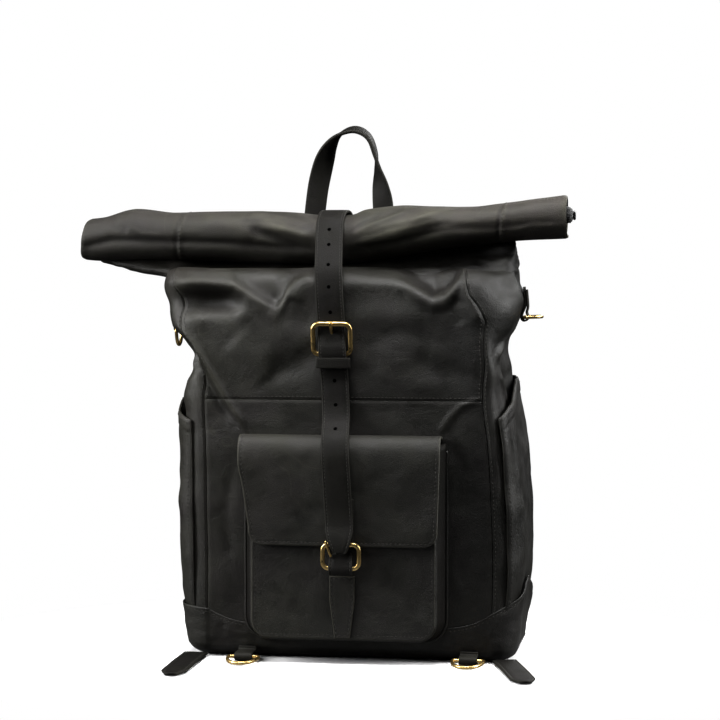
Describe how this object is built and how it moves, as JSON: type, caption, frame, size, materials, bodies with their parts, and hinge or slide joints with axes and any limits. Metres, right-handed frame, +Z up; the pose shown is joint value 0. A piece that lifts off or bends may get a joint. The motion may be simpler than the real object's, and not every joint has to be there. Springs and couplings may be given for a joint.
{
  "type": "roll-top backpack",
  "caption": "Leather roll-top backpack with a buckled closing strap, flapped front pocket, side pockets, carry handle, rings and two adjustable shoulder straps.",
  "frame": {"origin": "on the floor under the middle of the base, in the plane of the base's underside", "axes": "+Z up, -Y the front with the pocket and buckles, +X to the right seen from the front"},
  "size_m": [0.525, 0.3138, 0.5628],
  "materials": {
    "body_leather": "oiled full-grain leather, satin",
    "strap_leather": "oiled strap leather, satin, stitched edges",
    "brass": "antique brass, brushed",
    "lining": "woven cotton twill",
    "board": "stiff board",
    "steel": "plated steel"
  },
  "bodies": {
    "bag": {"front_panel_upper": "body_leather", "front_panel_lower": "body_leather", "side_panel_left": "body_leather", "side_panel_right": "body_leather", "back_panel": "body_leather", "base_boot": "body_leather", "base_stiffener": "board", "lining_bag": "lining", "laptop_sleeve": "lining", "side_pocket_left": "body_leather", "side_pocket_right": "body_leather", "pocket_gusset": "body_leather", "pocket_front": "body_leather", "strap_end_patch": "strap_leather", "pocket_magnet": "steel", "closure_strap_rear": "strap_leather", "back_yoke": "body_leather", "handle_anchor_left": "strap_leather", "handle_anchor_right": "strap_leather", "side_ring_loop_left": "strap_leather", "side_ring_loop_right": "strap_leather", "base_ring_loop_left": "strap_leather", "base_ring_loop_right": "strap_leather", "shoulder_anchor_left": "strap_leather", "shoulder_anchor_right": "strap_leather"},
    "roll": {"roll_outer": "body_leather", "roll_core": "lining", "mouth_zip_tape": "lining", "mouth_zip_slider": "brass", "collar_wing_left": "body_leather", "collar_wing_right": "body_leather"},
    "closing_strap": {"closure_strap": "strap_leather", "front_buckle_frame": "brass", "front_buckle_tongue": "brass", "front_buckle_chape": "strap_leather", "strap_keeper": "strap_leather"},
    "strap_end": {"closure_strap_tail": "strap_leather"},
    "flap": {"pocket_flap": "body_leather", "pocket_buckle_frame": "brass", "pocket_buckle_tab": "strap_leather", "pocket_buckle_tongue": "brass", "flap_magnet": "steel"},
    "handle": {"carry_handle": "strap_leather"},
    "side_ring_l": {"side_ring_left": "brass"},
    "side_ring_r": {"side_ring_right": "brass"},
    "base_ring_l": {"base_ring_left": "brass"},
    "base_ring_r": {"base_ring_right": "brass"},
    "corner_tab_l": {"corner_tab_left": "strap_leather"},
    "corner_tab_r": {"corner_tab_right": "strap_leather"},
    "shoulder_l": {"shoulder_pad_left": "strap_leather", "shoulder_strap_lower_left": "strap_leather", "shoulder_buckle_frame_left": "brass", "shoulder_buckle_tongue_left": "brass"},
    "shoulder_r": {"shoulder_pad_right": "strap_leather", "shoulder_strap_lower_right": "strap_leather", "shoulder_buckle_frame_right": "brass", "shoulder_buckle_tongue_right": "brass"}
  },
  "joints": [
    {"name": "roll_lift", "type": "hinge", "parent": "bag", "child": "roll", "pos_m": [0, 0.02, 0.457], "axis": [-1, 0, 0], "range_deg": [0, 60]},
    {"name": "closing_strap_swing", "type": "hinge", "parent": "bag", "child": "closing_strap", "pos_m": [0, 0.02, 0.457], "axis": [-1, 0, 0], "range_deg": [0, 90]},
    {"name": "pocket_flap_lift", "type": "hinge", "parent": "bag", "child": "flap", "pos_m": [0, -0.0885, 0.2364], "axis": [-1, 0, 0], "range_deg": [0, 90]},
    {"name": "strap_end_bend", "type": "hinge", "parent": "closing_strap", "child": "strap_end", "pos_m": [0, -0.0912, 0.2964], "axis": [-1, 0, 0], "range_deg": [0, 90]},
    {"name": "handle_swing", "type": "hinge", "parent": "bag", "child": "handle", "pos_m": [-0.017, 0.043, 0.405], "axis": [-1, 0, 0], "range_deg": [-5, 85]},
    {"name": "side_ring_left_swing", "type": "hinge", "parent": "bag", "child": "side_ring_l", "pos_m": [-0.19258, -0.012, 0.343], "axis": [0, 1, 0], "range_deg": [0, 80]},
    {"name": "side_ring_right_swing", "type": "hinge", "parent": "bag", "child": "side_ring_r", "pos_m": [0.18044, -0.012, 0.356], "axis": [0, -1, 0], "range_deg": [-85, 5]},
    {"name": "base_ring_left_lift", "type": "hinge", "parent": "bag", "child": "base_ring_l", "pos_m": [-0.103, -0.104, 0.0046], "axis": [-1, 0, 0], "range_deg": [0, 30]},
    {"name": "base_ring_right_lift", "type": "hinge", "parent": "bag", "child": "base_ring_r", "pos_m": [0.13, -0.093, 0.0046], "axis": [-1, 0, 0], "range_deg": [0, 30]},
    {"name": "corner_tab_left_lift", "type": "hinge", "parent": "bag", "child": "corner_tab_l", "pos_m": [-0.16, -0.0785, 0.0018], "axis": [-0.9999, -0.0165, 0], "range_deg": [0, 60]},
    {"name": "corner_tab_right_lift", "type": "hinge", "parent": "bag", "child": "corner_tab_r", "pos_m": [0.166, -0.0745, 0.0018], "axis": [-0.9652, -0.2613, 0], "range_deg": [0, 60]},
    {"name": "shoulder_strap_left_swing", "type": "hinge", "parent": "bag", "child": "shoulder_l", "pos_m": [-0.131, 0.091, 0.048], "axis": [0.1992, -0.0716, 0.9773], "range_deg": [-15, 15]},
    {"name": "shoulder_strap_right_swing", "type": "hinge", "parent": "bag", "child": "shoulder_r", "pos_m": [0.125, 0.091, 0.048], "axis": [0.2917, 0.0699, -0.954], "range_deg": [-15, 15]}
  ],
  "couplings": [
    {"joint": "closing_strap_swing", "follows": "roll_lift", "ratio": 1.5},
    {"joint": "strap_end_bend", "follows": "pocket_flap_lift", "ratio": 1}
  ]
}
